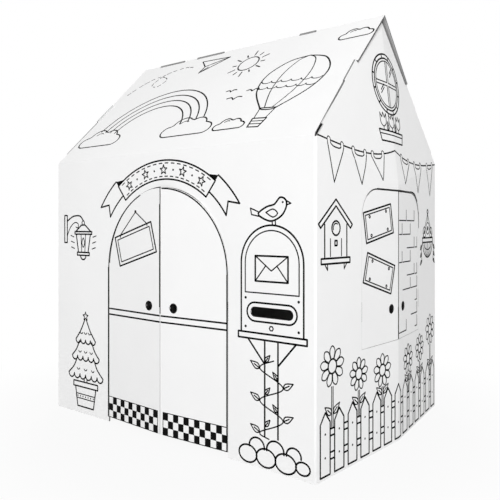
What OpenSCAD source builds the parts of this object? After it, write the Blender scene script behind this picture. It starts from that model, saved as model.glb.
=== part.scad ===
// Folding card playhouse: one creased sheet makes the four walls and both roof slopes,
// with a two-leaf arched front door and a two-leaf side hatch cut into it.
// Millimetres. The origin is on the floor at the middle of the house, the front faces -Y, +Z is up.

/* [House] */
// Width of the front wall between its corner folds
wall_w = 856; // [760:1:960]
// Depth of the house between the corner folds of a gable
wall_d = 664; // [560:1:760]
// Height of the eave fold
eave_h = 695; // [660:1:800]
// Height of the ridge
ridge_h = 1029; // [960:1:1150]

/* [Board] */
// Thickness of the corrugated board
board_t = 4; // [3:0.5:6]
// Outer radius of the folds at the corners of the walls
fold_r = 5; // [4:0.5:8]
// Width of a die cut along a leaf
cut_gap = 0.5; // [0.3:0.1:1]
// Gap between the free edges of a pair of leaves
split_gap = 2; // [1.6:0.2:5]

/* [Gables] */
// How far the upright crease in a gable's middle stands out from its corners
gable_bow = 31; // [10:1:50]
// Height above the hatch where that crease starts to lean back to the ridge
crease_margin = 12; // [6:1:30]
// How far the gable's peak is tucked in under the roof's end
gable_tuck = 16; // [6:1:20]
// Gap between a gable's sloping edge and the roof above it
rake_gap = 1; // [0.5:0.5:3]
// Length of the open notch at the low end of a sloping edge
relief_len = 40; // [30:1:70]
// Distance up the slope from the eave to the middle of a gable's lock tab
lock_tab_at = 230; // [180:1:280]
// Length of a gable's lock tab
lock_tab_len = 82; // [50:1:110]
// How far a lock tab stands out of the roof
lock_tab_proud = 3; // [1:0.5:6]

/* [Roof] */
// How far the roof's end stands out over a gable at the top of its lock tabs
roof_overhang = 5; // [1:0.5:8]
// Places of the ridge tabs along the ridge
ridge_tab_x = [-296, -137, 206]; // [-360:1:360]
// Length of each of these tabs
ridge_tab_len = [106, 106, 50]; // [30:1:130]
// How far a ridge tab stands out of the front slope
ridge_tab_proud = 2; // [1:0.5:6]
// Gap under a ridge tab in its notch
ridge_notch_gap = 3; // [1:0.5:5]
// Gap round a tab in its notch
tab_gap = 1; // [0.5:0.5:2]

/* [Front door] */
// Width of the doorway
door_w = 406; // [340:1:440]
// Height where the doorway's round arch begins
door_spring_h = 405; // [360:1:430]
// Height of the leaves' lower edges above the floor
leaf_foot = 12; // [6:1:20]
// Angle by which each leaf stands ajar
door_ajar = 3.2; // [0:0.1:4]
// Diameter of a finger hole
finger_d = 22; // [18:1:28]
// Height of the finger holes
finger_h = 319; // [300:1:340]
// Distance from a door leaf's finger hole to the split
door_finger_inset = 41; // [30:1:60]

/* [Side hatch] */
// Width of one hatch leaf
hatch_leaf_w = 164; // [140:1:190]
// Height of the hatch's sill
hatch_sill_h = 242; // [200:1:270]
// Height of the hatch
hatch_h = 358; // [320:1:380]
// Radius of the hatch's two upper corners
hatch_corner_r = 65; // [40:1:90]
// Width of the cut round the head of the hatch
head_gap = 3; // [0.5:0.1:4]
// Distance from a hatch leaf's finger hole to the crease
hatch_finger_inset = 34; // [25:1:50]

/* [Ticket slot] */
// Distance of the slot's middle to the right of the doorway's middle
slot_x = 320; // [300:1:330]
// Height of the slot's middle
slot_z = 331; // [280:1:380]
// Length of the slot with its round ends
slot_len = 110; // [80:1:120]
// Height of the slot
slot_h = 22; // [12:1:26]

/* [Glue flap] */
// Width of the flap that closes the wrap inside the rear left corner
flap_w = 35; // [25:1:60]
// Distance from the flap's ends to the floor and to the eave
flap_end_gap = 20; // [10:1:40]

/* [Hidden] */
$fn = 96;
card_white = [0.96, 0.96, 0.95];
past = 1;
glue_lap = 0.2;
fold_lap = board_t / 2;
fold_ease = 0.02;
x_dir = [1, 0, 0];
z_dir = [0, 0, 1];
half_w = wall_w / 2;
half_d = wall_d / 2;
reach = wall_w + wall_d + ridge_h;
roof_angle = atan2(ridge_h - eave_h, half_d);
slope_len = norm([half_d, ridge_h - eave_h]);
slope_dir = [0, cos(roof_angle), sin(roof_angle)];
lock_tab_top = lock_tab_at + lock_tab_len / 2 + tab_gap;
tab_top_half_w = half_w - gable_tuck * lock_tab_top / slope_len;
roof_half_w = tab_top_half_w + roof_overhang;
door_r = door_w / 2;
gable_half_w = norm([gable_bow, half_d]);
gable_dir = [gable_bow, half_d, 0] / gable_half_w;
hatch_hinge_s = gable_half_w - hatch_leaf_w;
crease_break_h = hatch_sill_h + hatch_h + crease_margin;
gable_corner = [half_w, -half_d, 0];
eave_corner = [half_w, -half_d, eave_h];
crease_break = [half_w + gable_bow, 0, crease_break_h];
gable_peak = [half_w - gable_tuck, 0, ridge_h];

function unit(v) = v / norm(v);

// Puts a drawing on the plane through point o with directions u and v, which are at right angles.
// The drawing's face looks along u x v.
module on_plane(o, u, v) {
    n = cross(u, v);
    multmatrix([
        [u[0], v[0], n[0], o[0]],
        [u[1], v[1], n[1], o[1]],
        [u[2], v[2], n[2], o[2]],
        [0, 0, 0, 1]
    ])
        children();
}

// A sheet of board with its face on that plane
module panel(o, u, v) {
    on_plane(o, u, v)
        translate([0, 0, -board_t])
            linear_extrude(board_t)
                children();
}

// Everything behind that plane by the depth or more
module behind(o, u, v, depth) {
    on_plane(o, u, v)
        translate([-reach, -reach, -2 * reach - depth])
            cube(2 * reach);
}

// The space between the front wall's face and the middle of the house
module front_half() {
    translate([-reach, -half_d, 0])
        cube([2 * reach, half_d, reach]);
}

module front_panel() {
    panel([0, -half_d, 0], x_dir, z_dir) children();
}

module front_roof_plane() {
    on_plane([0, -half_d, eave_h], x_dir, slope_dir) children();
}

module gable_panel() {
    panel(gable_corner, gable_dir, z_dir) children();
}

// Doorway with a half-round head, or a leaf's outline when the edge is drawn in
module arch_outline(edge, foot) {
    translate([-door_r + edge, foot])
        square([door_w - 2 * edge, door_spring_h - foot]);
    translate([0, door_spring_h])
        circle(r = door_r - edge);
}

// Half of the hatch, from its hinge line to the gable's crease, with one round upper corner
module hatch_outline(edge, head, free_edge) {
    left = hatch_hinge_s + edge;
    right = gable_half_w - free_edge;
    bottom = hatch_sill_h + edge;
    top = hatch_sill_h + hatch_h - head;
    corner_r = hatch_corner_r - head;
    corner_s = hatch_hinge_s + hatch_corner_r;
    translate([left, bottom])
        square([right - left, top - corner_r - bottom]);
    translate([corner_s, bottom])
        square([right - corner_s, top - bottom]);
    translate([corner_s, top - corner_r])
        circle(r = corner_r);
}

module slot_outline() {
    straight = slot_len - slot_h;
    translate([slot_x - straight / 2, slot_z - slot_h / 2])
        square([straight, slot_h]);
    for (side = [-1, 1])
        translate([slot_x + side * straight / 2, slot_z])
            circle(d = slot_h);
}

// A long wall ends inside the boards of the gables and the roof that it folds into
module long_wall_outline() {
    translate([-half_w + fold_lap, 0])
        square([wall_w - 2 * fold_lap, eave_h - fold_lap]);
}

module front_wall() {
    front_panel()
        difference() {
            long_wall_outline();
            arch_outline(0, -past);
            slot_outline();
        }
}

module back_wall() {
    mirror([0, 1, 0])
        front_panel()
            long_wall_outline();
}

// The space under both slopes, which trims the gables' sloping edges
module under_roof() {
    drop = (board_t + rake_gap) / cos(roof_angle);
    rotate([90, 0, 90])
        translate([0, 0, -reach])
            linear_extrude(2 * reach)
                polygon([
                    [-half_d, 0],
                    [half_d, 0],
                    [half_d, eave_h - drop],
                    [0, ridge_h - drop],
                    [-half_d, eave_h - drop]
                ]);
}

// A stretch of a gable's sloping edge that reaches up to the roof's face, or stands proud of it
module rake_zone(start, length, proud) {
    depth = board_t + rake_gap + past;
    front_roof_plane()
        translate([0, start, -depth])
            cube([reach, length, depth + proud]);
}

// Everything inside a gable's front half at that depth: behind the upright part, which runs from the corner
// fold to the middle crease, and behind the part that leans back from there to the peak
module gable_inside(depth) {
    base = crease_break - eave_corner;
    rake = gable_peak - eave_corner;
    u = unit(base);
    v = cross(unit(cross(base, rake)), u);
    intersection() {
        behind(gable_corner, gable_dir, z_dir, depth);
        behind(eave_corner, u, v, depth);
    }
}

// A gable's edge stands in front of the roof's end up to the lock tab, and goes under the roof above it
module gable_half(has_hatch) {
    difference() {
        intersection() {
            gable_inside(0);
            front_half();
            union() {
                under_roof();
                rake_zone(relief_len, lock_tab_at - relief_len, 0);
                rake_zone(lock_tab_at - lock_tab_len / 2, lock_tab_len, lock_tab_proud);
            }
        }
        gable_inside(board_t);
        if (has_hatch)
            on_plane(gable_corner, gable_dir, z_dir)
                translate([0, 0, -2 * board_t])
                    linear_extrude(3 * board_t)
                        hatch_outline(0, 0, -past);
    }
}

module gable(has_hatch) {
    gable_half(has_hatch);
    mirror([0, 1, 0])
        gable_half(has_hatch);
}

// A roof slope of the given length with the drawing of what it adds at the ridge. It starts at the eave fold,
// in the wall's face, and lies between the gables up to the top of their lock tabs and over them from there.
module slope(length) {
    foot = 2 * board_t;
    foot_half_w = half_w - board_t - tab_gap;
    tab_half_w = tab_top_half_w - board_t - tab_gap;
    intersection() {
        panel([0, -half_d, eave_h], x_dir, slope_dir) {
            polygon([
                [-foot_half_w, -foot],
                [foot_half_w, -foot],
                [tab_half_w, lock_tab_top],
                [roof_half_w, lock_tab_top],
                [roof_half_w, length],
                [-roof_half_w, length],
                [-roof_half_w, lock_tab_top],
                [-tab_half_w, lock_tab_top]
            ]);
            children();
        }
        translate([-reach, -half_d, 0])
            cube([2 * reach, wall_d, reach]);
    }
}

// Tabs of the given height along a slope's upper edge, each longer by the gap at both ends
module ridge_tabs(bottom, height, gap) {
    for (i = [0 : len(ridge_tab_x) - 1])
        translate([ridge_tab_x[i] - ridge_tab_len[i] / 2 - gap, bottom])
            square([ridge_tab_len[i] + 2 * gap, height]);
}

module front_slope() {
    notch_h = board_t + ridge_notch_gap;
    difference() {
        slope(slope_len);
        front_roof_plane()
            translate([0, 0, -2 * board_t])
                linear_extrude(3 * board_t)
                    ridge_tabs(slope_len - notch_h, notch_h + past, tab_gap);
    }
}

module rear_slope() {
    body_len = slope_len - board_t - rake_gap;
    mirror([0, 1, 0])
        slope(body_len)
            ridge_tabs(body_len - past, slope_len + ridge_tab_proud - body_len + past, 0);
}

// Flap folded in from the back wall and glued flat to the inside of the left gable
module glue_flap() {
    low = flap_end_gap;
    high = eave_h - flap_end_gap;
    mirror([1, 0, 0])
        mirror([0, 1, 0])
            translate((glue_lap - board_t) * cross(gable_dir, z_dir))
                gable_panel()
                    polygon([
                        [fold_lap, low],
                        [flap_w, low + flap_w],
                        [flap_w, high - flap_w],
                        [fold_lap, high]
                    ]);
}

// What the round back of the front right corner fold takes off the sharp corner
module corner_round() {
    front_out = [0, -1];
    gable_out = [gable_dir[1], -gable_dir[0]];
    bisector = (front_out + gable_out) / (1 + front_out * gable_out);
    span = fold_r + past;
    translate([half_w, -half_d, -past])
        linear_extrude(reach)
            translate(-fold_r * bisector)
                difference() {
                    polygon([[0, 0], span * front_out, span * bisector, span * gable_out]);
                    circle(r = fold_r + fold_ease);
                }
}

module walls() {
    difference() {
        union() {
            front_wall();
            back_wall();
            gable(true);
            mirror([1, 0, 0])
                gable(false);
        }
        for (left = [0, 1], rear = [0, 1])
            mirror([left, 0, 0])
                mirror([0, rear, 0])
                    corner_round();
    }
}

module house_shell() {
    color(card_white) {
        walls();
        front_slope();
        rear_slope();
        glue_flap();
    }
}

// One leaf of the front door, turned out by the ajar angle about its crease in the wall's face
module door_leaf(side) {
    hinge = [side * door_r, -half_d, 0];
    color(card_white)
        translate(hinge)
            rotate([0, 0, side * door_ajar])
                translate(-hinge)
                    front_panel()
                        difference() {
                            intersection() {
                                arch_outline(cut_gap, leaf_foot);
                                translate([side > 0 ? split_gap / 2 : -door_r, 0])
                                    square([door_r - split_gap / 2, door_spring_h + door_r]);
                            }
                            translate([side * door_finger_inset, finger_h])
                                circle(d = finger_d);
                        }
}

module front_door_left() {
    door_leaf(-1);
}

module front_door_right() {
    door_leaf(1);
}

module hatch_leaf() {
    color(card_white)
        gable_panel()
            difference() {
                hatch_outline(cut_gap, head_gap, split_gap / 2);
                translate([gable_half_w - hatch_finger_inset, finger_h])
                    circle(d = finger_d);
            }
}

module hatch_leaf_front() {
    hatch_leaf();
}

module hatch_leaf_rear() {
    mirror([0, 1, 0])
        hatch_leaf();
}

house_shell();
front_door_left();
front_door_right();
hatch_leaf_front();
hatch_leaf_rear();
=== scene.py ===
"""Looks of the folding card playhouse: white-lined board, black line print, a pale floor and soft light.

The house's sizes and the drawings on its faces are in millimetres, the scene itself is in metres.
"""

import math

import bmesh
import bpy
from mathutils import Matrix, Vector


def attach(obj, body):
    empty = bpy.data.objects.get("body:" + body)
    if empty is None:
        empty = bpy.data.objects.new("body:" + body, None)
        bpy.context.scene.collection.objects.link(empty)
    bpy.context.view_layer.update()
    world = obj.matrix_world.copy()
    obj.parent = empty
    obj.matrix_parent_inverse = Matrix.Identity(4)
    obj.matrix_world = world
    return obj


MM = 0.001

# The house in millimetres, as the part's source has it
HALF_W = 428
HALF_D = 332
EAVE_H = 695
RIDGE_H = 1029
GABLE_BOW = 31
GABLE_TUCK = 16
CREASE_BREAK_H = 612
DOOR_R = 203
DOOR_SPRING_H = 405
DOOR_AJAR = math.radians(3.2)
LEAF_FOOT = 12
LEAF_EDGE = 1.2
FINGER_H = 319
FINGER_R = 11
DOOR_FINGER_INSET = 42
HATCH_SILL_H = 242
HATCH_TOP_H = 600
HATCH_HALF_W = 163.3
HATCH_CORNER_R = 65
SLOT_X = 320
SLOT_Z = 331
SLOT_LEN = 110
SLOT_H = 22
BOARD_T = 4
LOCK_TAB_TOP_Y = 140.5
NOTCH_TOP_H = 724

ROOF_ANGLE = math.atan2(RIDGE_H - EAVE_H, HALF_D)
LEAN_UP = (GABLE_BOW + GABLE_TUCK) / (RIDGE_H - CREASE_BREAK_H)
LEAN_OUT = (GABLE_BOW - LEAN_UP * (EAVE_H - CREASE_BREAK_H)) / HALF_D

# Widths of printed lines, and how the print lies on the board, in millimetres
BOLD = 4.4
MID = 4.0
STRING = 3.4
FINE = 2.8
INK_T = 0.25
INK_SINK = 0.1
CURVE_STEP = 6
LINE_STEP = 12
CORNER = math.radians(28)
CAP_SIDES = 4

# The camera, fitted to the photograph's 500 pixel frame
CAMERA_AT = (1.0343, -1.3420, 0.5142)
CAMERA_YAW = math.radians(37.34)
SENSOR_MM = 36
FRAME_PX = 500
FOCAL_PX = 589.8
HORIZON_PX = 226.1

# Light: a large lamp from the front right, and a weaker one from behind for the sides turned away
AMBIENT = 0.3
LAMP_DISTANCE = 9
LAMP_SIZE = 3.6
LAMP_ELEVATION = 23
KEY_POWER = 750
KEY_AZIMUTH = -50.5
FILL_POWER = 560
FILL_AZIMUTH = 131.5

# Tones of the board, from black at nought to white at one, and the fibres' share in the liner's
LINER_LOW = 0.865
LINER_HIGH = 0.905
FIBRE_TONE = 0.80
FIBRE_SHARE = 0.10
INNER_GREY = 0.5
# Painted shade on the roof's inner face by the gables
INNER_SHADE = 0.2
CORE = 0.18
# Painted light: a paler tone for the leaves' cuts and the cuts round the hatch
PAINTED_LIGHT_CORE = 0.65
# Painted shade on the leaves' cuts along their split
SPLIT_PAINTED_SHADE = 0.05
# Painted light on the gables' sloping cut edges
PAINTED_LIGHT_EDGE = 0.6
# Painted shade on cuts round the holes, the slot, the notches and the peaks
PAINTED_SHADE_CUT = 0.012

# The floor's own grey, and the share of plain white over it near the house
FLOOR_GREY = 0.45
FLOOR_WHITE_SHARE = 0.92

# How far the board's painted shade and painted light reach, in millimetres
SPLIT_REACH = 25
INNER_SHADE_REACH = 12
ROOF_END_REACH = 20
HOLE_REACH = 16
PAINTED_LIGHT_FULL_H = 750
PAINTED_LIGHT_NONE_H = 840

# The board's relief and the floor, in metres
FLUTE_PITCH = 0.0073
FLUTE_RELIEF = 0.000012
FIBRE_RELIEF = 0.00004
WARP_RELIEF = 0.006
EDGE_ROUND = 0.0009
FLOOR_HALF = 12
FLOOR_Z = -0.0005
SHADOW_NEAR = 0.45
SHADOW_FAR = 1


# Faces of the house: each gives the point and the outward direction for a place in a drawing

def front_face(u, v):
    """The front wall, with u along X and v up."""
    return Vector((u, -HALF_D, v)), Vector((0, -1, 0))


def door_face(side):
    """The face of a door leaf, which stands ajar about its crease."""
    hinge = Vector((side * DOOR_R, -HALF_D, 0))
    turn = Matrix.Rotation(side * DOOR_AJAR, 3, "Z")

    def face(u, v):
        spot, out = front_face(u, v)
        return hinge + turn @ (spot - hinge), turn @ out

    return face


def roof_face(u, v):
    """The front slope, with u along X and v up the slope from the eave."""
    rise = Vector((0, math.cos(ROOF_ANGLE), math.sin(ROOF_ANGLE)))
    out = Vector((0, -math.sin(ROOF_ANGLE), math.cos(ROOF_ANGLE)))
    return Vector((u, -HALF_D, EAVE_H)) + v * rise, out


def gable_face(u, v):
    """The right gable, u along Y from its crease and v up. It leans back above the crease's break."""
    side = math.copysign(1, u)
    upright = GABLE_BOW * (1 - abs(u) / HALF_D)
    leaning = GABLE_BOW - LEAN_UP * (v - CREASE_BREAK_H) - LEAN_OUT * abs(u)
    out = Vector((1, side * GABLE_BOW / HALF_D, 0))
    if leaning < upright:
        out = Vector((1, side * LEAN_OUT, LEAN_UP))
    return Vector((HALF_W + min(upright, leaning), u, v)), out.normalized()


# Drawing

def step_from(point, aim, length):
    return point[0] + length * math.cos(aim), point[1] + length * math.sin(aim)


def polar(r, degrees):
    return step_from((0, 0), math.radians(degrees), r)


def heading(a, b):
    return math.atan2(b[1] - a[1], b[0] - a[0])


def smooth(points, closed):
    """A smooth path through the points."""
    count = len(points)
    path = []
    for i in range(count if closed else count - 1):
        if closed:
            p0, p1, p2, p3 = (points[(i + k) % count] for k in (-1, 0, 1, 2))
        else:
            p0, p1, p2, p3 = (points[min(max(i + k, 0), count - 1)] for k in (-1, 0, 1, 2))
        steps = max(3, round(math.dist(p1, p2) / CURVE_STEP))
        for k in range(steps):
            t = k / steps
            spot = []
            for a, b, c, d in zip(p0, p1, p2, p3):
                slope = (c - a) / 2
                bend = (2 * a - 5 * b + 4 * c - d) / 2
                twist = (3 * b - a - 3 * c + d) / 2
                spot.append(b + t * slope + t * t * bend + t ** 3 * twist)
            path.append(tuple(spot))
    path.append(points[0] if closed else points[-1])
    return path


def runs(points):
    """Cuts a path at its sharp corners, which the round ends of the pieces then fill."""
    pieces = [[points[0]]]
    for before, point, after in zip(points, points[1:], points[2:] + [None]):
        pieces[-1].append(point)
        if after is None:
            break
        turn = heading(point, after) - heading(before, point)
        if abs(math.remainder(turn, math.tau)) > CORNER:
            pieces.append([point])
    return pieces


def spaced(path):
    """Adds points so that a path follows the folds under it."""
    dense = [path[0]]
    for a, b in zip(path, path[1:]):
        steps = max(1, math.ceil(math.dist(a, b) / LINE_STEP))
        shares = [k / steps for k in range(1, steps + 1)]
        if a[0] * b[0] < 0:
            shares.append(a[0] / (a[0] - b[0]))
        for share in sorted(shares):
            dense.append((a[0] + (b[0] - a[0]) * share, a[1] + (b[1] - a[1]) * share))
    return dense


class Print:
    """The black print on one face, gathered into one thin piece."""

    def __init__(self, face):
        self.face = face
        self.vertices = []
        self.faces = []

    def patch(self, points, loops):
        """Adds a closed film of ink over flat points, with a face for each loop of point numbers."""
        low = len(self.vertices)
        top = low + len(points)
        for height in (-INK_SINK, INK_T):
            for u, v in points:
                spot, out = self.face(u, v)
                self.vertices.append((spot + height * out) * MM)
        edges = {edge for loop in loops for edge in zip(loop, loop[1:] + loop[:1])}
        for loop in loops:
            self.faces.append([top + i for i in loop])
            self.faces.append([low + i for i in reversed(loop)])
        for a, b in sorted(edges):
            if (b, a) not in edges:
                self.faces.append([top + b, top + a, low + a, low + b])

    def ribbon(self, path, width):
        """A line of that width with round ends."""
        path = spaced(path)
        count = len(path)
        aims = [heading(path[max(i - 1, 0)], path[min(i + 1, count - 1)]) for i in range(count)]
        quarter = math.pi / 2
        left = [step_from(p, aim + quarter, width / 2) for p, aim in zip(path, aims)]
        right = [step_from(p, aim - quarter, width / 2) for p, aim in zip(path, aims)]
        cap = [math.pi * k / CAP_SIDES for k in range(1, CAP_SIDES)]
        start = [step_from(path[0], aims[0] + quarter + a, width / 2) for a in cap]
        end = [step_from(path[-1], aims[-1] - quarter + a, width / 2) for a in cap]
        loops = [[i, count + i, count + i + 1, i + 1] for i in range(count - 1)]
        first = 2 * count
        last = first + len(cap)
        loops.append([0, *range(first, last), count])
        loops.append([2 * count - 1, *range(last, last + len(cap)), count - 1])
        self.patch(left + right + start + end, loops)

    def piece(self, name, body, material):
        """Makes the piece and lets it ride on a body."""
        mesh = bpy.data.meshes.new(name)
        mesh.from_pydata(self.vertices, [], self.faces)
        shaped = bmesh.new()
        shaped.from_mesh(mesh)
        bmesh.ops.recalc_face_normals(shaped, faces=shaped.faces)
        shaped.to_mesh(mesh)
        shaped.free()
        mesh.materials.append(material)
        piece = bpy.data.objects.new(name, mesh)
        bpy.context.scene.collection.objects.link(piece)
        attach(piece, body)


class Pen:
    """Draws on a print from a place of its own, turned and sized."""

    def __init__(self, ink, origin=(0, 0), turn=0, size=1):
        self.ink = ink
        self.origin = origin
        self.turn = turn
        self.size = size

    def at(self, u, v, turn=0, size=1):
        return Pen(self.ink, self.place((u, v)), self.turn + math.radians(turn), self.size * size)

    def place(self, point):
        length = self.size * math.hypot(*point)
        return step_from(self.origin, self.turn + math.atan2(point[1], point[0]), length)

    def line(self, points, width=FINE, closed=False):
        placed = [self.place(p) for p in points]
        if closed:
            placed += placed[:2]
        pieces = runs(placed)
        if closed and len(pieces[-1]) == 2:
            pieces.pop()
        for run in pieces:
            self.ink.ribbon(run, width)

    def curve(self, points, width=FINE, closed=False):
        self.line(smooth(points, closed), width)

    def arc(self, u, v, r, start, end, width=FINE, tall=1.0):
        """Part of a circle, or of an ellipse where it is made taller or flatter."""
        steps = max(6, round(math.radians(abs(end - start)) * r / CURVE_STEP))
        angles = [start + (end - start) * k / steps for k in range(steps + 1)]
        turned = [polar(r, a) for a in angles]
        self.line([(u + x, v + y * tall) for x, y in turned], width)

    def circle(self, u, v, r, width=FINE, tall=1.0):
        self.arc(u, v, r, 0, 360, width, tall)

    def box(self, u0, v0, u1, v1, width=FINE):
        self.line([(u0, v0), (u1, v0), (u1, v1), (u0, v1)], width, closed=True)

    def dashes(self, points, on=14, off=9, width=FINE):
        """A broken smooth line."""
        path = smooth(points, False)
        dash = [path[0]]
        walked = 0
        for a, b in zip(path, path[1:]):
            walked += math.dist(a, b)
            if walked % (on + off) < on:
                dash.append(b)
                continue
            if len(dash) > 1:
                self.line(dash, width)
            dash = [b]

    def fill(self, points):
        """A solid black shape."""
        placed = [self.place(p) for p in points]
        self.ink.patch(placed, [list(range(len(placed)))])

    def dot(self, u, v, r):
        sides = 10
        self.fill([(u + x, v + y) for x, y in (polar(r, 360 * k / sides) for k in range(sides))])


# Small motifs

def leaf(pen, length):
    """A leaf from its stalk at the origin to its tip."""
    for side in (-1, 1):
        pen.curve([(0, 0), (length * 0.35, side * length * 0.24), (length, 0)])
    pen.line([(0, 0), (length * 0.6, 0)])


def daisy(pen, r, petals=9):
    """A flower seen from the front."""
    eye = r * 0.36
    pen.circle(0, 0, eye, MID)
    middle = (r + eye) / 2
    petal_w = math.pi * middle / petals * 0.92
    for k in range(petals):
        petal = pen.at(0, 0, 360 * k / petals + 90)
        petal.curve([(eye, petal_w * 0.5), (middle * 1.12, petal_w), (r, 0),
                     (middle * 1.12, -petal_w), (eye, -petal_w * 0.5)])


def star(pen, r):
    tips = 5
    points = [polar(r if k % 2 == 0 else r * 0.42, 90 + 180 * k / tips) for k in range(2 * tips)]
    pen.line(points, FINE, closed=True)


def bird(pen):
    """A small bird that looks to the right."""
    body = [(-34, 8), (-12, 22), (8, 27), (22, 41), (36, 36), (38, 22), (26, 3), (2, -8), (-20, -3)]
    pen.curve(body, MID, closed=True)
    pen.line([(38, 34), (49, 28), (39, 25)])
    pen.curve([(-14, 10), (4, 17), (16, 8), (4, 0), (-14, 10)])
    pen.line([(-32, 11), (-55, 20), (-52, 6), (-26, 1)])
    pen.dot(29, 31, 2.4)
    for foot in (2, 10):
        pen.line([(foot, -8), (foot + 1, -17)])


def cloud(pen):
    """A cloud on a flat base."""
    bumps = (
        (-70, 24, 24, 270, 95),
        (-30, 50, 34, 175, 45),
        (28, 44, 33, 130, 15),
        (68, 24, 24, 65, -90),
    )
    path = []
    for u, v, r, start, end in bumps:
        steps = 9
        turned = [polar(r, start + (end - start) * k / steps) for k in range(steps + 1)]
        path += [(u + x, v + y) for x, y in turned]
    pen.line(path, MID, closed=True)
    pen.arc(-24, 48, 20, 150, 60)


# The front wall

def door_outline(pen):
    """The line round the doorway's left half on the wall."""
    pen.arc(0, DOOR_SPRING_H, DOOR_R + FINE / 2, 93, 180, FINE)
    jamb_u = -DOOR_R - BOLD / 2
    pen.line([(jamb_u, DOOR_SPRING_H), (jamb_u, LEAF_FOOT + BOLD / 2)], BOLD)


def left_leaf_outline_and_split_shade(pen):
    """The printed line along the left leaf's part of the arch, and a painted shade line along the split
    above the finger hole.
    """
    pen.arc(0, DOOR_SPRING_H, DOOR_R - LEAF_EDGE - FINE / 2, 112, 176, FINE)
    # A painted shade line along the split
    split_u, top_h, thin = -2.3, 567, 2
    pen.line([(split_u, FINGER_H), (split_u, top_h)], thin)


def right_leaf_outline(pen):
    """The line along the right leaf's arch and jamb."""
    pen.arc(0, DOOR_SPRING_H, DOOR_R - LEAF_EDGE - STRING / 2, 88.5, 0, STRING)
    jamb_u = DOOR_R - LEAF_EDGE - MID / 2
    pen.line([(jamb_u, DOOR_SPRING_H), (jamb_u, LEAF_FOOT + 1 + MID / 2)], MID)


def hole_rim(pen, inset):
    """The thin dark rim of a leaf's finger hole."""
    rim = 1.2
    pen.circle(inset, FINGER_H, FINGER_R + rim / 2, rim)


def ribbon_scroll(pen):
    """A blank arched ribbon with folded ends, drawn round the arch's middle."""
    gap, band, hem = 20, 46, 7
    inner = DOOR_R + gap
    outer = inner + band
    middle = (inner + outer) / 2
    end, tip, lift = 52, 34, 15

    def at(side, r, degrees):
        x, y = polar(r, degrees)
        return side * x, y

    for r in (inner, outer):
        pen.arc(0, 0, r, end, 180 - end, MID)
    steps = 8
    for side in (-1, 1):
        pen.line([at(side, inner, end), at(side, outer, end)], MID)
        for r in (inner + lift, outer + lift):
            pen.line([at(side, r, end + (tip - end) * k / steps) for k in range(steps + 1)], MID)
        notch = at(side, middle + lift, tip + 5)
        pen.line([at(side, outer + lift, tip), notch, at(side, inner + lift, tip)], MID)
        pen.fill([at(side, outer, end), at(side, outer + lift, end), at(side, outer, end + 6)])
    dash, count, end_gap = 2.2, 16, 3
    sweep = 180 - 2 * end - 2 * end_gap - dash
    for r in (inner + hem, outer - hem):
        for k in range(count):
            a = end + end_gap + sweep * k / (count - 1)
            pen.arc(0, 0, r, a, a + dash)
    pitch = 15
    for k in range(-2, 3):
        star(pen.at(*polar(middle, 90 + pitch * k), pitch * k), 12)
    for k in (-3, -1, 1, 3):
        pen.dot(*polar(middle, 90 + pitch / 2 * k), 2.6)


def lantern(pen):
    """A coach lantern on a curled wall bracket."""
    pen.box(-84, 40, -72, 116, MID)
    pen.curve([(-72, 100), (-45, 113), (-15, 114), (0, 101)], MID)
    pen.curve([(-72, 58), (-58, 82), (-38, 96), (-22, 92), (-24, 81), (-33, 84)])
    pen.circle(0, 95, 6)
    pen.line([(-8, 89), (-33, 71), (33, 71), (8, 89)], MID, closed=True)
    pen.box(-37, 64, 37, 71, MID)
    pen.line([(-31, 64), (-21, 14), (21, 14), (31, 64)], MID)
    for side in (-1, 1):
        pen.line([(side * 10, 64), (side * 7, 14)])
        for lift in (24, 40, 56):
            pen.line([(side * (36 + lift * 0.1), lift), (side * (50 + lift * 0.1), lift + 4)])
    pen.curve([(0, 54), (6, 40), (0, 28), (-6, 40)], FINE, closed=True)
    pen.box(-26, 6, 26, 14, MID)
    pen.arc(0, 6, 12, 180, 360, MID)


def foliage(pen, half, top_half, height, scallops):
    """One tier of a clipped tree, with a scalloped hem."""
    r = half / scallops
    for k in range(scallops):
        pen.arc(-half + (2 * k + 1) * r, 0, r, 180, 360, MID)
    waist = ((half + top_half) * 0.46, height * 0.45)
    for side in (-1, 1):
        pen.curve([(side * u, v) for u, v in ((half, 0), waist, (top_half, height))], MID)
    for k in (-1, 0, 1):
        pen.arc(k * half * 0.42, height * 0.4, 6, 200, 340)


def topiary(pen):
    """A clipped tree of three tiers in a banded pot."""
    pen.line([(-44, 54), (-34, 0), (34, 0), (44, 54)], MID)
    pen.box(-52, 54, 52, 68, MID)
    pen.line([(-40, 34), (40, 34)])
    pen.line([(-38, 22), (38, 22)])
    for k in range(-3, 4):
        pen.dot(k * 11, 28, 2.2)
    for side in (-1, 1):
        pen.line([(side * 6, 68), (side * 6, 76)], MID)
    foliage(pen.at(0, 88), 74, 36, 46, 6)
    foliage(pen.at(0, 138), 58, 27, 42, 5)
    foliage(pen.at(0, 184), 42, 3, 56, 4)
    star(pen.at(0, 249), 12)


def envelope(pen):
    pen.box(-42, -27, 42, 27, MID)
    pen.line([(-42, 27), (0, -4), (42, 27)])
    for side in (-1, 1):
        pen.line([(side * 42, -27), (side * 14, 7)])


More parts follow.
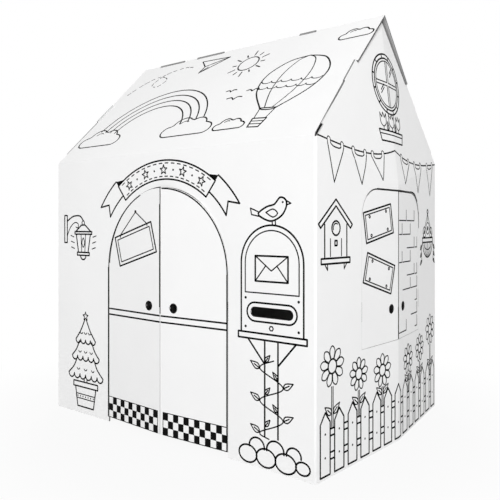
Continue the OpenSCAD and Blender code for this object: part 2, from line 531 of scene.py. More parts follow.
def letter_box(pen):
    """A letter box on a post round the slot, with a bird on top, a climbing plant and stones."""
    half, foot, spring, panel = 80, 286, 436, 372
    inset, shelf = 11, 13
    pen.line([(half, spring), (half, foot), (-half, foot), (-half, spring)], MID)
    pen.arc(0, spring, half, 0, 180, MID)
    inner = half - inset
    pen.arc(0, spring, inner, 0, 180)
    pen.line([(-inner, spring), (-inner, panel), (inner, panel), (inner, spring)])
    envelope(pen.at(0, 424))
    plate_r = SLOT_H / 2 + 9
    straight = (SLOT_LEN - SLOT_H) / 2
    for side in (-1, 1):
        edge_v = SLOT_Z + side * plate_r
        pen.line([(-straight, edge_v), (straight, edge_v)], MID)
        pen.arc(side * straight, SLOT_Z, plate_r, 90, 90 - 180 * side, MID)
        pen.dot(side * 68, foot + 12, 3)
        pen.dot(side * 68, panel - 12, 3)
    pen.circle(0, foot + 13, 5)
    pen.box(-half - 8, foot - shelf, half + 8, foot, MID)
    post_r, stones_top = 17, 70
    for side in (-1, 1):
        pen.line([(side * post_r, stones_top), (side * post_r, foot - shelf)], MID)
        pen.line([(side * post_r, 222), (side * 62, foot - shelf)], MID)
    turns = 5
    bends = [(30 if k % 2 else -30, stones_top + 6 + 34 * k) for k in range(turns)]
    pen.curve([(-6, stones_top - 4), *bends, (6, bends[-1][1] + 20)])
    for u, v in bends:
        side = math.copysign(1, u)
        leaf(pen.at(u, v, 90 - side * 62), 28)
        leaf(pen.at(u * 0.55, v + 15, 90 + side * 40), 20)
    for u, r in ((-62, 24), (-14, 25), (36, 26), (78, 17)):
        pen.circle(u, 24, r, MID, 0.78)
    for u, r in ((-38, 20), (10, 22), (56, 18)):
        pen.arc(u, 44, r, -8, 188, MID, 0.95)
    bird(pen.at(0, spring + half + 17))


def hanging_sign(pen):
    """A blank sign board that hangs askew on a string."""
    board = pen.at(0, 0, 16)
    board.box(-74, -38, 74, 38, MID)
    board.box(-65, -29, 65, 29)
    board.line([(-52, 38), (24, 78), (58, 38)])
    board.dot(24, 79, 4)
    for u in (-52, 58):
        board.dot(u, 34, 2)


def door_rails(pen, side):
    """Two rails that run from the jamb to the split."""
    near = 1.3
    for height in (298, 283):
        low, high = height - MID / 2, height + MID / 2
        u0, u1 = sorted((side * (DOOR_R - LEAF_EDGE), side * near))
        pen.fill([(u0, low), (u1, low), (u1, high), (u0, high)])


def kick_band(pen, side):
    """Rows of checkers along a leaf's foot, from the jamb to just short of the split."""
    columns, rows = 12, 3
    near, far = 9, DOOR_R - LEAF_EDGE
    low, high = LEAF_FOOT + 1.5, 67
    cell_w = (far - near) / columns
    cell_h = (high - low) / rows
    for column in range(columns):
        for row in range(rows):
            if (column + row) % 2:
                continue
            u0, u1 = sorted((side * (near + column * cell_w), side * (near + (column + 1) * cell_w)))
            v1 = high - row * cell_h
            pen.fill([(u0, v1 - cell_h), (u1, v1 - cell_h), (u1, v1), (u0, v1)])
    thin = 2
    end = side * (far - thin / 2)
    pen.line([(end, high), (side * near, high), (side * near, low), (end, low)], thin)


# The roof

def rainbow(pen):
    for r in (145, 172, 199, 226):
        pen.arc(0, 0, r, 13, 167, MID)
    cloud(pen.at(-186, -26))
    cloud(pen.at(186, -26))


def balloon(pen):
    """A hot-air balloon with gores, a waved band and a basket."""
    half_outline = [(0, 92), (50, 76), (82, 26), (70, -34), (22, -94)]
    mouth = half_outline[-1]
    for share in (-1, -0.45, 0.45, 1):
        pen.curve([(u * share, v) for u, v in half_outline], MID if abs(share) == 1 else FINE)
    pen.arc(0, -94, mouth[0], 180, 360, MID, 0.3)
    pen.line([(-22, -94), (22, -94)], MID)
    waves = 6
    for level in (4, -18):
        reach = 79 if level > 0 else 76
        for k in range(waves):
            r = reach / waves
            pen.arc(-reach + (2 * k + 1) * r, level, r, 180, 360, FINE, 0.55)
    for side in (-1, 1):
        pen.line([(side * 20, -98), (side * 15, -128)])
    pen.line([(-18, -128), (-14, -156), (14, -156), (18, -128)], MID, closed=True)
    for v in (-137, -146):
        pen.line([(-16, v), (16, v)])


def far_birds(pen):
    for u, v, size in ((0, 0, 1), (46, 26, 0.8), (-30, 40, 0.7)):
        for side in (-1, 1):
            pen.at(u, v, size=size).curve([(0, 0), (side * 10, 10), (side * 24, 8)], MID)


def paper_plane(pen):
    pen.line([(62, 14), (-44, 44), (-22, 4), (-34, -26)], MID)
    pen.line([(62, 14), (-22, 4)], MID)
    pen.line([(62, 14), (-34, -26), (-8, -6)], MID)


def sun(pen):
    rays = 12
    pen.circle(0, 0, 32, MID)
    for k in range(rays):
        a = 360 * k / rays
        pen.line([polar(42, a), polar(62 if k % 2 else 54, a)], MID)


def roof_scene(pen):
    rainbow(pen.at(-150, 84, size=0.9))
    balloon(pen.at(258, 236, -6, 1.15))
    far_birds(pen.at(108, 190))
    sun(pen.at(62, 366))
    cloud(pen.at(372, 388, size=0.5))
    cloud(pen.at(160, 62, size=0.5))
    paper_plane(pen.at(-96, 404, 12))
    pen.dashes([(-392, 322), (-352, 372), (-300, 398), (-254, 372), (-272, 340), (-306, 356),
                (-282, 404), (-214, 424), (-150, 408)])


# The right gable and its hatch

def round_window(pen):
    """A round attic window with crossed bars."""
    frame_r, rim_r, glass_r = 74, 64, 57
    bar = 4
    pen.circle(0, 0, frame_r, MID)
    pen.circle(0, 0, rim_r, MID)
    pen.circle(0, 0, glass_r)
    reach = math.sqrt(glass_r ** 2 - bar ** 2)
    for side in (-1, 1):
        pen.line([(side * bar, -reach), (side * bar, -bar)])
        pen.line([(side * bar, bar), (side * bar, reach)])
        pen.line([(-reach, side * bar), (-bar, side * bar)])
        pen.line([(bar, side * bar), (reach, side * bar)])
    for k in range(12):
        pen.line([polar(rim_r, 15 + 30 * k), polar(frame_r, 15 + 30 * k)], MID)
    for u, v in ((18, 22), (-36, -26)):
        for lift in (0, 8):
            pen.line([(u, v + lift), (u + 16, v + 16 + lift)])


def tulip(pen):
    for side in (-1, 1):
        pen.curve([(0, 0), (side * 13, 9), (side * 14, 32)])
    pen.line([(-14, 32), (-6, 22), (0, 34), (6, 22), (14, 32)])


def flower_box(pen):
    pen.line([(-66, 0), (-58, -26), (58, -26), (66, 0)], MID, closed=True)
    pen.line([(-63, -9), (63, -9)])
    pitch = 42
    for k in (-1, 0, 1):
        pen.line([(k * pitch, 0), (k * pitch, 8)])
        tulip(pen.at(k * pitch, 8))
    for k in (-0.5, 0.5):
        leaf(pen.at(k * pitch, 0, 90), 22)


def bunting(pen):
    """Pennants on two loops each, along a string that hangs in a swag on either side of the crease."""
    sag, sag_loss = 101, 56

    def string_height(u):
        t = abs(u) / HALF_D
        end_rise = 2 if u < 0 else -5
        return EAVE_H + 1 + end_rise * t - t * (1 - t) * (sag - sag_loss * t)

    pennants = ((-262, (-268, 605)), (-169, (-162, 606)), (-87, (-72, 620)),
                (66, (54, 619)), (162, (161, 602)), (270, (275, 599)))
    half, hem_drop, hem_share = 30, 10, 0.35
    loop_r, loop_w = 5.5, 2.2
    loop_rise, loop_shoulder, loop_drop = 7, 3, 6
    end_gap = 7
    end = HALF_D - end_gap
    loop_reach = half - loop_r
    knots = [-end, 0, 0, end]
    for middle, tip in pennants:
        hem = []
        for side in (-1, 1):
            loop_u = middle + side * loop_reach
            string_v = string_height(loop_u)
            outer, inner = loop_u + side * loop_r, loop_u - side * loop_r
            foot_v, shoulder_v = string_v - loop_drop, string_v + loop_shoulder
            pen.curve([(inner, foot_v), (inner, shoulder_v), (loop_u, string_v + loop_rise),
                       (outer, shoulder_v), (outer, foot_v)], loop_w)
            pen.line([(outer, foot_v), tip])
            hem_u = middle + side * half * hem_share
            hem += [(inner, foot_v), (hem_u, string_height(hem_u) - hem_drop)]
            knots += [inner, outer]
        pen.curve([hem[0], hem[1], hem[3], hem[2]])
    knots.sort()
    steps = 8
    for start, stop in zip(knots[::2], knots[1::2]):
        spots = [start + (stop - start) * k / steps for k in range(steps + 1)]
        pen.line([(u, string_height(u)) for u in spots], STRING)


def hatch_head_painted_shadow(pen):
    """A painted shadow in ink along the cut over the head of the hatch, heavy round the rear leaf's
    corner.
    """
    corner_u, corner_v = HATCH_HALF_W - HATCH_CORNER_R, HATCH_TOP_H - HATCH_CORNER_R
    for side, width in ((-1, 1.1), (1, 1.6)):
        head_v = HATCH_TOP_H + width / 2
        pen.line([(0, head_v), (side * corner_u, head_v)], width)
    end_deg, side_drop = 12, 25
    for start, stop, width in ((92, 78, 2.4), (78, 66, 4), (66, 40, 6), (40, end_deg, STRING)):
        pen.arc(corner_u, corner_v, HATCH_CORNER_R + width / 2, start, stop, width)
    side_u = HATCH_HALF_W + LEAF_EDGE + STRING / 2
    end_v = corner_v + HATCH_CORNER_R * math.sin(math.radians(end_deg))
    pen.line([(side_u, end_v), (side_u, corner_v - side_drop)], STRING)


def hatch_split_painted_shade(pen, side):
    """A painted shade line in ink along a hatch leaf's cut edge at the crease, finer above the finger
    hole.
    """
    inset, end_gap = 0.6, 2
    strokes = ((HATCH_SILL_H + end_gap, FINGER_H, 1.7), (FINGER_H, HATCH_TOP_H - end_gap, 0.9))
    for low, high, width in strokes:
        split_u = side * (inset + width / 2)
        pen.line([(split_u, low), (split_u, high)], width)


def bird_house(pen):
    """A nesting box under a small roof."""
    pen.line([(-40, 70), (-40, 0), (40, 0), (40, 70)], MID)
    pen.line([(0, 108), (54, 62), (61, 70), (0, 122), (-61, 70), (-54, 62)], MID, closed=True)
    pen.circle(0, 62, 15, MID)
    pen.arc(0, 62, 10, 60, 200)
    pen.box(-4, 26, 4, 36, MID)
    pen.box(-52, -11, 52, 0, MID)
    for u in (-20, 20):
        pen.line([(u, 4), (u, 40)])
    for side in (-1, 1):
        pen.line([(side * 40, -11), (side * 30, -24), (side * 30, -11)])


def hanging_basket(pen):
    """A basket of flowers on three chains."""
    bowl_r = 46
    pen.circle(0, 84, 6, MID)
    for u in (-bowl_r, 0, bowl_r):
        pen.line([(0, 78), (u, 12)] if u else [(0, 78), (0, 58)])
    pen.box(-bowl_r - 4, 0, bowl_r + 4, 12, MID)
    pen.arc(0, 0, bowl_r, 180, 360, MID, 0.9)
    for k in (-2, -1, 0, 1, 2):
        pen.curve([(k * 17, 0), (k * 13, -20), (k * 6, -38)])
    pen.arc(0, 0, bowl_r * 0.8, 205, 335, FINE, 0.55)
    for u, v, r in ((-30, 28, 14), (1, 38, 16), (32, 27, 14)):
        pen.circle(u, v, r)
        pen.dot(u, v, r * 0.4)
    for side in (-1, 1):
        pen.curve([(side * 48, 2), (side * 60, -20), (side * 54, -52)])
        for drop in (-8, -28, -48):
            leaf(pen.at(side * 57, drop, -90 + side * 50), 18)


def garden_fence(pen):
    """A picket fence along the gable's foot with flowers behind it."""
    pitch, width = 50, 34
    foot, shoulder, point = 7, 114, 136
    rail_edges = (37, 51, 85, 99)
    count = 13
    start = -(count * pitch - (pitch - width)) / 2
    for k in range(count):
        u = start + k * pitch
        middle, right = u + width / 2, u + width
        picket = [(u, foot), (u, shoulder), (middle, point), (right, shoulder), (right, foot)]
        pen.line(picket, MID, closed=True)
        for height in (44, 92):
            pen.dot(middle, height, 2.4)
        if k == count - 1:
            break
        for height in rail_edges:
            pen.line([(right, height), (u + pitch, height)], MID)
    gap = start + width + (pitch - width) / 2
    stalk_half, leaf_v = 2.6, 128
    flowers = ((0, 226, 42), (2, 192, 36), (4, 182, 38), (7, 182, 37), (9, 192, 36), (11, 226, 42))
    for k, height, r in flowers:
        u = gap + k * pitch
        daisy(pen.at(u, height), r)
        for side in (-1, 1):
            stalk_u = u + side * stalk_half
            pen.line([(stalk_u, rail_edges[-1]), (stalk_u, height - r)])
            leaf(pen.at(stalk_u, leaf_v, 90 - side * 52), 30)


def name_plate(pen, width, height):
    """A blank plate with a bolt hole near each corner."""
    half_w, half_h = width / 2, height / 2
    border, bolt_edge, bolt_r = 7, 13, 3
    pen.box(-half_w, -half_h, half_w, half_h, MID)
    pen.box(border - half_w, border - half_h, half_w - border, half_h - border)
    for side in (-1, 1):
        for edge in (-1, 1):
            pen.circle(side * width * 0.3, edge * (half_h - bolt_edge), bolt_r)


def brick_marks(pen):
    """Scattered bricks, as if the plaster had come off."""
    brick_w, brick_h, shortest = 66, 34, 20
    side_joint, top_joint = 6, 8
    near, far, foot = 6, 156, 14
    hole_reach_u, hole_reach_v = 60, 34
    rows = 9
    for row in range(rows):
        v = HATCH_SILL_H + foot + row * brick_h
        shift = (row % 2) * brick_w / 2
        for column in range(-1, 3):
            u0 = max(near, column * brick_w + shift)
            u1 = min(far, (column + 1) * brick_w + shift)
            by_hole = abs(v + brick_h / 2 - FINGER_H) < hole_reach_v and u0 < hole_reach_u
            plastered = (3 * row + 5 * column) % 7 > 3
            if u1 - u0 < shortest or by_hole or plastered:
                continue
            end_u = u1 - side_joint
            pen.line([(u0, v), (end_u, v), (end_u, v + brick_h - top_joint)], FINE)


# Materials

def compute(tree, operation, *values):
    """A math node on sockets or numbers; gives its output."""
    node = tree.nodes.new("ShaderNodeMath")
    node.operation = operation
    for socket, value in zip(node.inputs, values):
        if isinstance(value, bpy.types.NodeSocket):
            tree.links.new(value, socket)
        else:
            socket.default_value = value
    return node.outputs[0]


def between(tree, value, low, high):
    above = compute(tree, "GREATER_THAN", value, low)
    return compute(tree, "MULTIPLY", above, compute(tree, "LESS_THAN", value, high))


def fade(tree, value, start, end):
    """Goes smoothly from nought at the start to one at the end."""
    node = tree.nodes.new("ShaderNodeMapRange")
    node.interpolation_type = "SMOOTHSTEP"
    node.inputs["From Min"].default_value = start
    node.inputs["From Max"].default_value = end
    tree.links.new(value, node.inputs["Value"])
    return node.outputs[0]


def noise(tree, coordinates, scale, detail):
    node = tree.nodes.new("ShaderNodeTexNoise")
    node.inputs["Scale"].default_value = scale
    node.inputs["Detail"].default_value = detail
    tree.links.new(coordinates, node.inputs["Vector"])
    return node.outputs["Fac"]


def blend_colours(tree, factor, first, second):
    """Mixes two colours, each a socket or a grey level."""
    node = tree.nodes.new("ShaderNodeMix")
    node.data_type = "RGBA"
    tree.links.new(factor, node.inputs["Factor"])
    for socket, value in ((node.inputs[6], first), (node.inputs[7], second)):
        if isinstance(value, bpy.types.NodeSocket):
            tree.links.new(value, socket)
        else:
            socket.default_value = (value, value, value, 1)
    return node.outputs[2]


def new_material(name):
    material = bpy.data.materials.new(name)
    material.use_nodes = True
    return material, material.node_tree, material.node_tree.nodes["Principled BSDF"]


def parts_of(tree, vector):
    node = tree.nodes.new("ShaderNodeSeparateXYZ")
    tree.links.new(vector, node.inputs[0])
    return node.outputs


def above_roof(tree, place):
    """The height above the front slope's outer face, nought on that face."""
    rise, run = math.sin(ROOF_ANGLE), math.cos(ROOF_ANGLE)
    height = compute(tree, "MULTIPLY_ADD", place[1], -rise, (-rise * HALF_D - run * EAVE_H) * MM)
    return compute(tree, "MULTIPLY_ADD", place[2], run, height)


def on_tab(tree, place, facing, x, y):
    """One on the gables' sloping edges and the ridge tabs' ends, which look the same way as the roof."""
    slack = 0.5
    edge_x = (HALF_W - BOARD_T - GABLE_TUCK - slack) * MM
    leaning_x = compute(tree, "MULTIPLY_ADD", y, -GABLE_TUCK / HALF_D, x)
    past_roof = compute(tree, "GREATER_THAN", leaning_x, edge_x)
    below_tab_top = compute(tree, "GREATER_THAN", y, LOCK_TAB_TOP_Y * MM)
    proud = compute(tree, "GREATER_THAN", above_roof(tree, place), slack * MM)
    upward = compute(tree, "GREATER_THAN", facing[2], 0)
    forward = compute(tree, "LESS_THAN", facing[1], 0)
    tab_end = compute(tree, "MULTIPLY", proud, compute(tree, "MULTIPLY", upward, forward))
    return compute(tree, "MAXIMUM", compute(tree, "MULTIPLY", past_roof, below_tab_top), tab_end)


def cut_edges(tree, place, facing):
    """One where the board's core shows at a cut, nought on its faces and along its folds."""
    across, along, up = (compute(tree, "ABSOLUTE", part) for part in facing)
    x, y = (compute(tree, "ABSOLUTE", part) for part in place[:2])
    square_on, gable_least = 0.9975, 0.975
    slope_least, slope_most = 0.69, 0.72
    walls = compute(tree, "GREATER_THAN", along, square_on)
    gables = between(tree, across, gable_least, square_on)
    slopes = between(tree, up, slope_least, slope_most)
    slopes = compute(tree, "SUBTRACT", slopes, on_tab(tree, place, facing, x, y))
    faces = compute(tree, "MAXIMUM", compute(tree, "MAXIMUM", walls, gables), slopes)
    reach = 1.5 * BOARD_T
    at_wall = compute(tree, "GREATER_THAN", y, (HALF_D - reach) * MM)
    at_corner = compute(tree, "GREATER_THAN", x, (HALF_W - reach) * MM)
    at_eave = between(tree, place[2], (EAVE_H - reach) * MM, (EAVE_H + reach) * MM)
    fold = compute(tree, "MULTIPLY", at_wall, compute(tree, "MAXIMUM", at_corner, at_eave))
    return compute(tree, "SUBTRACT", 1, compute(tree, "MAXIMUM", faces, fold))


def inner_faces(tree, place, facing):
    """One on faces that look into the house."""
    outward = compute(tree, "MULTIPLY", place[0], facing[0])
    outward = compute(tree, "MULTIPLY_ADD", place[1], facing[1], outward)
    above_room = compute(tree, "SUBTRACT", place[2], EAVE_H * MM / 2)
    outward = compute(tree, "MULTIPLY_ADD", above_room, facing[2], outward)
    return compute(tree, "LESS_THAN", outward, 0)


def painted_shade_by_gable(tree, place, facing):
    """Painted shade: one where the roof's inner face meets a gable's leaning peak, fading to nought away
    from it.
    """
    x, y = (compute(tree, "ABSOLUTE", part) for part in place[:2])
    offset = (-HALF_W - GABLE_BOW - LEAN_UP * CREASE_BREAK_H) * MM
    away = compute(tree, "MULTIPLY_ADD", y, LEAN_OUT, compute(tree, "ADD", x, offset))
    away = compute(tree, "MULTIPLY_ADD", place[2], LEAN_UP, away)
    near = fade(tree, compute(tree, "ABSOLUTE", away), INNER_SHADE_REACH * MM, 0)
    least_up = 0.5
    sloping = compute(tree, "GREATER_THAN", compute(tree, "ABSOLUTE", facing[2]), least_up)
    in_roof = compute(tree, "MULTIPLY", sloping, compute(tree, "GREATER_THAN", place[2], EAVE_H * MM))
    return compute(tree, "MULTIPLY", near, in_roof)


def painted_light_gable_edges(tree, place):
    """Painted light: one on the left gable's sloping edges and low on the right gable's, fading to
    nought higher up.
    """
    slack = 1
    x = compute(tree, "ABSOLUTE", place[0])
    at_end = compute(tree, "GREATER_THAN", x, (HALF_W - BOARD_T - slack) * MM)
    left = compute(tree, "LESS_THAN", place[0], 0)
    low = fade(tree, place[2], PAINTED_LIGHT_NONE_H * MM, PAINTED_LIGHT_FULL_H * MM)
    return compute(tree, "MULTIPLY", at_end, compute(tree, "MAXIMUM", left, low))


def painted_shade_cuts(tree, place):
    """One where cuts get painted shade: round the holes and the slot, at the notches and by the peaks.
    """
    slack, eave_drop, skin, peak_share = 0.5, 10, 1.4, 0.5
    end_x = (HALF_W - ROOF_END_REACH) * MM
    x = compute(tree, "ABSOLUTE", place[0])
    holes = between(tree, place[2], (FINGER_H - HOLE_REACH) * MM, (SLOT_Z + HOLE_REACH) * MM)
    at_roof_end = between(tree, x, end_x, (HALF_W - BOARD_T + slack) * MM)
    low = between(tree, place[2], (EAVE_H - eave_drop) * MM, NOTCH_TOP_H * MM)
    under = compute(tree, "LESS_THAN", above_roof(tree, place), -skin * MM)
    notches = compute(tree, "MULTIPLY", under, compute(tree, "MULTIPLY", at_roof_end, low))
    at_end = compute(tree, "GREATER_THAN", x, end_x)
    front_peak = between(tree, place[1], -LOCK_TAB_TOP_Y * MM, 0)
    peaks = compute(tree, "MULTIPLY", at_end, compute(tree, "MULTIPLY", front_peak, peak_share))
    return compute(tree, "MAXIMUM", compute(tree, "MAXIMUM", holes, notches), peaks)


def at_hatch(tree, place):
    """One round the hatch's opening, where the cuts get painted light."""
    x, y = (compute(tree, "ABSOLUTE", part) for part in place[:2])
    near = compute(tree, "GREATER_THAN", x, HALF_W * MM)
    side = compute(tree, "LESS_THAN", y, (HATCH_HALF_W + BOARD_T) * MM)
    high = between(tree, place[2], (HATCH_SILL_H - BOARD_T) * MM, (HATCH_TOP_H - HATCH_CORNER_R) * MM)
    return compute(tree, "MULTIPLY", near, compute(tree, "MULTIPLY", side, high))


def board_material(name, core=CORE, split_shade=None, split_axis=0, split_low=0):
    """White-lined board with a grey inner face, faint flutes, fibres, a slow warp and dark cuts, and
    painted shade and painted light on its cuts and inner faces.
    """
    material, tree, shader = new_material(name)
    place = tree.nodes.new("ShaderNodeTexCoord").outputs["Object"]
    spot = parts_of(tree, place)
    turn_back = tree.nodes.new("ShaderNodeVectorTransform")
    turn_back.vector_type = "NORMAL"
    turn_back.convert_from = "WORLD"
    turn_back.convert_to = "OBJECT"
    tree.links.new(tree.nodes.new("ShaderNodeNewGeometry").outputs["True Normal"], turn_back.inputs[0])
    facing = parts_of(tree, turn_back.outputs[0])
    least_across = 0.6
    on_gable = compute(tree, "GREATER_THAN", compute(tree, "ABSOLUTE", facing[0]), least_across)
    along_x = compute(tree, "MULTIPLY", spot[0], compute(tree, "SUBTRACT", 1, on_gable))
    run = compute(tree, "ADD", along_x, compute(tree, "MULTIPLY", spot[1], on_gable))
    flutes = compute(tree, "SINE", compute(tree, "MULTIPLY", run, math.tau / FLUTE_PITCH))
    fibres = noise(tree, place, scale=420, detail=3)
    mottle = noise(tree, place, scale=9, detail=4)
    warp = noise(tree, place, scale=2.2, detail=1)

    liner = blend_colours(tree, mottle, LINER_LOW, LINER_HIGH)
    liner = blend_colours(tree, compute(tree, "MULTIPLY", fibres, FIBRE_SHARE), liner, FIBRE_TONE)
    # The inside grey, with painted shade where the roof's inner face meets a gable's peak
    inner = blend_colours(tree, painted_shade_by_gable(tree, spot, facing), INNER_GREY, INNER_SHADE)
    # Gable tabs standing proud of the roof keep the white liner on their inner face as painted light,
    # though the inside is grey
    proud = compute(tree, "GREATER_THAN", above_roof(tree, spot), 0)
    painted_light_tab = compute(tree, "MULTIPLY", on_gable, proud)
    inside = compute(tree, "SUBTRACT", inner_faces(tree, spot, facing), painted_light_tab)
    liner = blend_colours(tree, inside, liner, inner)
    cut = blend_colours(tree, compute(tree, "MULTIPLY_ADD", flutes, 0.3, 0.5), core * 0.5, core * 1.5)
    # Painted light on the cuts round the hatch's opening
    cut = blend_colours(tree, at_hatch(tree, spot), cut, PAINTED_LIGHT_CORE)
    # Painted light on the gables' sloping cut edges
    cut = blend_colours(tree, painted_light_gable_edges(tree, spot), cut, PAINTED_LIGHT_EDGE)
    # Painted shade on the cuts along a leaf's split
    if split_shade:
        across = compute(tree, "ABSOLUTE", spot[split_axis])
        above = compute(tree, "GREATER_THAN", spot[2], split_low * MM)
        split = compute(tree, "MULTIPLY", above, compute(tree, "LESS_THAN", across, SPLIT_REACH * MM))
        cut = blend_colours(tree, split, cut, split_shade)
    # Painted shade on the cuts round the holes, the slot, the notches and the peaks
    cut = blend_colours(tree, painted_shade_cuts(tree, spot), cut, PAINTED_SHADE_CUT)
    colour = blend_colours(tree, cut_edges(tree, spot, facing), liner, cut)
    tree.links.new(colour, shader.inputs["Base Color"])

    height = compute(tree, "MULTIPLY", flutes, FLUTE_RELIEF)
    height = compute(tree, "MULTIPLY_ADD", fibres, FIBRE_RELIEF, height)
    height = compute(tree, "MULTIPLY_ADD", warp, WARP_RELIEF, height)
    bump = tree.nodes.new("ShaderNodeBump")
    bump.inputs["Distance"].default_value = 1
    tree.links.new(height, bump.inputs["Height"])
    tree.links.new(bump.outputs[0], shader.inputs["Normal"])
    tree.links.new(compute(tree, "MULTIPLY_ADD", mottle, 0.12, 0.62), shader.inputs["Roughness"])
    shader.inputs["Specular IOR Level"].default_value = 0.25
    return material


def ink_material():
    """Matte black print with the unevenness of ink on paper, also used for the painted shadow lines
    along the splits and over the hatch's head.
    """
    material, tree, shader = new_material("ink")
    place = tree.nodes.new("ShaderNodeTexCoord").outputs["Object"]
    speckle = noise(tree, place, scale=600, detail=2)
    tree.links.new(blend_colours(tree, speckle, 0.002, 0.008), shader.inputs["Base Color"])
    tree.links.new(compute(tree, "MULTIPLY_ADD", speckle, 0.2, 0.5), shader.inputs["Roughness"])
    shader.inputs["Specular IOR Level"].default_value = 0.02
    return material


def seen_directly(tree):
    """One for rays from the camera, also by way of gloss or glass."""
    path = tree.nodes.new("ShaderNodeLightPath").outputs
    sharp = compute(tree, "MAXIMUM", path["Is Glossy Ray"], path["Is Transmission Ray"])
    return compute(tree, "MAXIMUM", path["Is Camera Ray"], sharp)


def floor_material():
    """A pale floor that shows white, and keeps some of the shadow near the house."""
    material, tree, shader = new_material("floor")
    shader.inputs["Base Color"].default_value = (FLOOR_GREY, FLOOR_GREY, FLOOR_GREY, 1)
    shader.inputs["Roughness"].default_value = 0.9
    shader.inputs["Specular IOR Level"].default_value = 0.0
    white = tree.nodes.new("ShaderNodeEmission")
    place = tree.nodes.new("ShaderNodeTexCoord").outputs["Object"]
    away = tree.nodes.new("ShaderNodeVectorMath")
    away.operation = "LENGTH"
    tree.links.new(place, away.inputs[0])
    far = fade(tree, away.outputs["Value"], SHADOW_NEAR, SHADOW_FAR)
    share = compute(tree, "MULTIPLY_ADD", far, 1 - FLOOR_WHITE_SHARE, FLOOR_WHITE_SHARE)
    share = compute(tree, "MULTIPLY", share, seen_directly(tree))
    mix = tree.nodes.new("ShaderNodeMixShader")
    tree.links.new(share, mix.inputs[0])
    tree.links.new(shader.outputs[0], mix.inputs[1])
    tree.links.new(white.outputs[0], mix.inputs[2])
    tree.links.new(mix.outputs[0], tree.nodes["Material Output"].inputs["Surface"])
    return material


# Scene

def dress_board(node, material):
    """Gives a node its board, with its cut and folded edges slightly rounded."""
    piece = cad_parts[node]
    piece.data.materials.clear()
    piece.data.materials.append(material)
    weld = piece.modifiers.new("weld", "WELD")
    weld.merge_threshold = 0.00002
    flat = piece.modifiers.new("flat", "DECIMATE")
    flat.decimate_type = "DISSOLVE"
    flat.angle_limit = math.radians(0.5)
    bevel = piece.modifiers.new("soft_edges", "BEVEL")
    bevel.width = EDGE_ROUND
    bevel.segments = 2
    bevel.limit_method = "ANGLE"
    bevel.angle_limit = math.radians(30)
    bevel.harden_normals = True


def add_prints(ink):
    """Draws every printed face and makes its piece; some lines are painted shadow along the splits and
    over the hatch's head.
    """
    front = Print(front_face)
    pen = Pen(front)
    door_outline(pen)
    ribbon_scroll(pen.at(0, DOOR_SPRING_H))
    lantern(pen.at(-312, 428))
    topiary(pen.at(-302, 18))
    letter_box(pen.at(SLOT_X, 0))
    front.piece("front_print", "house", ink)

    for side, name in ((-1, "door_left"), (1, "door_right")):
        leaf_print = Print(door_face(side))
        pen = Pen(leaf_print)
        door_rails(pen, side)
        kick_band(pen, side)
        hole_rim(pen, side * DOOR_FINGER_INSET)
        if side < 0:
            # Print on the arch, and painted shade along the split, in the left leaf's piece
            left_leaf_outline_and_split_shade(pen)
            hanging_sign(pen.at(-95, 468))
        else:
            right_leaf_outline(pen)
        leaf_print.piece(name + "_print", name, ink)

    roof = Print(roof_face)
    roof_scene(Pen(roof))
    roof.piece("roof_print", "house", ink)

    gable = Print(gable_face)
    pen = Pen(gable)
    round_window(pen.at(0, 858))
    flower_box(pen.at(0, 742))
    bunting(pen)
    # A painted shadow over the hatch's head
    hatch_head_painted_shadow(pen)
    bird_house(pen.at(-262, 448))
    hanging_basket(pen.at(252, 470))
    garden_fence(pen)
    gable.piece("gable_print_and_painted_shadow", "house", ink)

    plates = Print(gable_face)
    pen = Pen(plates)
    # Painted shade along the hatch's split
    hatch_split_painted_shade(pen, -1)
    name_plate(pen.at(-91, 521, 11), 121, 69)
    name_plate(pen.at(-88, 405, -16), 126, 68)
    plates.piece("hatch_front_print_and_painted_shade", "hatch_front", ink)

    bricks = Print(gable_face)
    pen = Pen(bricks)
    # Painted shade along the hatch's split
    hatch_split_painted_shade(pen, 1)
    brick_marks(pen)
    bricks.piece("hatch_rear_print_and_painted_shade", "hatch_rear", ink)


def add_floor():
    mesh = bpy.data.meshes.new("floor")
    signs = ((-1, -1), (1, -1), (1, 1), (-1, 1))
    corners = [(x * FLOOR_HALF, y * FLOOR_HALF, FLOOR_Z) for x, y in signs]
    mesh.from_pydata(corners, [], [(0, 1, 2, 3)])
    mesh.materials.append(floor_material())
    floor = bpy.data.objects.new("floor", mesh)
    bpy.context.scene.collection.objects.link(floor)


def add_world():
    """Even light from all round, which the camera sees as white."""
    world = bpy.data.worlds.new("studio")
    world.use_nodes = True
    tree = world.node_tree
    ambient = tree.nodes["Background"]
    ambient.inputs["Color"].default_value = (1, 1, 1, 1)
    ambient.inputs["Strength"].default_value = AMBIENT
    white = tree.nodes.new("ShaderNodeBackground")
    white.inputs["Color"].default_value = (1, 1, 1, 1)
    white.inputs["Strength"].default_value = 1
    mix = tree.nodes.new("ShaderNodeMixShader")
    tree.links.new(seen_directly(tree), mix.inputs[0])
    tree.links.new(ambient.outputs[0], mix.inputs[1])
    tree.links.new(white.outputs[0], mix.inputs[2])
    tree.links.new(mix.outputs[0], tree.nodes["World Output"].inputs["Surface"])
    bpy.context.scene.world = world


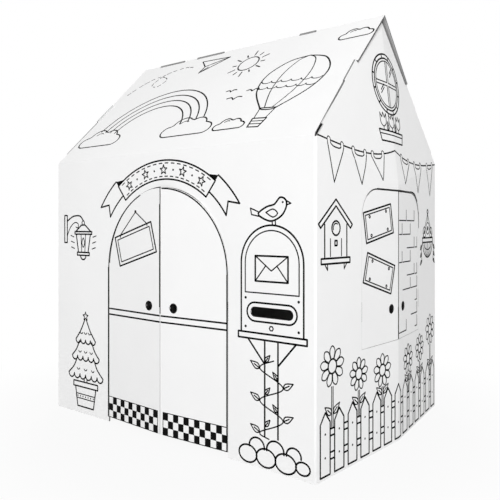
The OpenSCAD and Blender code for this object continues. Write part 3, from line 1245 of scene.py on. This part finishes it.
def add_lamp(name, power, azimuth):
    light = bpy.data.lights.new(name, "AREA")
    light.energy = power
    light.size = LAMP_SIZE
    lamp = bpy.data.objects.new(name, light)
    away, height = polar(1, LAMP_ELEVATION)
    toward = Vector((*polar(away, azimuth), height))
    aim = Vector((0, 0, EAVE_H * MM / 2))
    lamp.location = aim + LAMP_DISTANCE * toward
    lamp.rotation_euler = toward.to_track_quat("Z", "Y").to_euler()
    bpy.context.scene.collection.objects.link(lamp)


def add_camera():
    camera = bpy.data.cameras.new("camera")
    camera.sensor_width = SENSOR_MM
    camera.lens = SENSOR_MM * FOCAL_PX / FRAME_PX
    camera.shift_y = (HORIZON_PX - FRAME_PX / 2) / FRAME_PX
    stand = bpy.data.objects.new("camera", camera)
    stand.location = CAMERA_AT
    stand.rotation_euler = (math.radians(90), 0, CAMERA_YAW)
    bpy.context.scene.collection.objects.link(stand)
    bpy.context.scene.camera = stand


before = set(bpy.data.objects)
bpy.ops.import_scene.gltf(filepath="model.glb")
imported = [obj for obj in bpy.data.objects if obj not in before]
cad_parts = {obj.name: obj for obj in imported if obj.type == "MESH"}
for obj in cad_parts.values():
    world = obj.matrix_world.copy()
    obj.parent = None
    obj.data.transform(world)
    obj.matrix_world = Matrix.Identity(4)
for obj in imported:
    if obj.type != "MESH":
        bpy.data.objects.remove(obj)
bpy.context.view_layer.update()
bpy.context.scene.view_settings.view_transform = "Standard"

add_camera()
add_lamp("key", KEY_POWER, KEY_AZIMUTH)
add_lamp("fill", FILL_POWER, FILL_AZIMUTH)
add_world()
add_floor()
dress_board("house_shell", board_material("board"))
# The leaves' cuts get painted light, with painted shade along their split
door_board = board_material("door_board", PAINTED_LIGHT_CORE, SPLIT_PAINTED_SHADE, split_axis=0, split_low=FINGER_H)
hatch_board = board_material("hatch_board", PAINTED_LIGHT_CORE, SPLIT_PAINTED_SHADE, split_axis=1)
for leaf_node in ("front_door_left", "front_door_right"):
    dress_board(leaf_node, door_board)
for leaf_node in ("hatch_leaf_front", "hatch_leaf_rear"):
    dress_board(leaf_node, hatch_board)
add_prints(ink_material())
